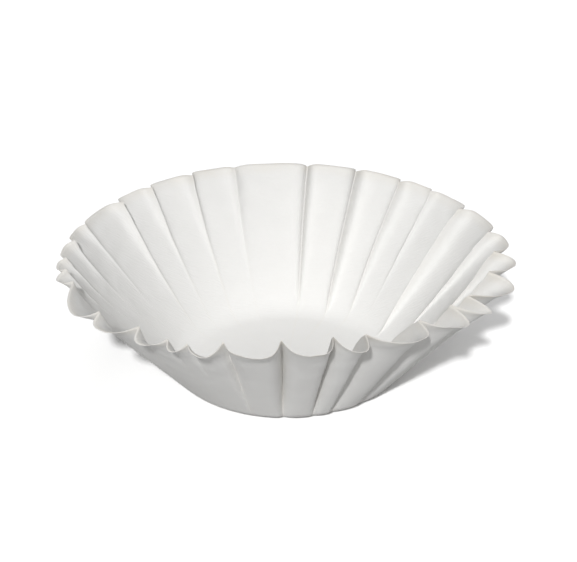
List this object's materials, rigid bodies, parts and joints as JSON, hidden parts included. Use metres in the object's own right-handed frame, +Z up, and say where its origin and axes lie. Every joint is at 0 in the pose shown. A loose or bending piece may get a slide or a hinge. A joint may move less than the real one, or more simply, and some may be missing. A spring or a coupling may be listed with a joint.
{
  "type": "basket coffee filter",
  "caption": "Flat-floored paper coffee filter: one thin round sheet pressed into a flared cup with a fluted wall.",
  "frame": {"origin": "centre of the flat floor's underside, where the filter rests", "axes": "+Z up, out of the open mouth; -Y towards the front, where the wall is steepest; +X to the right seen from the front"},
  "size_m": [0.1678, 0.1587, 0.0516],
  "materials": {
    "paper": "matt, finely creped white filter paper"
  },
  "bodies": {
    "root": {"filter_paper": "paper"}
  },
  "joints": []
}
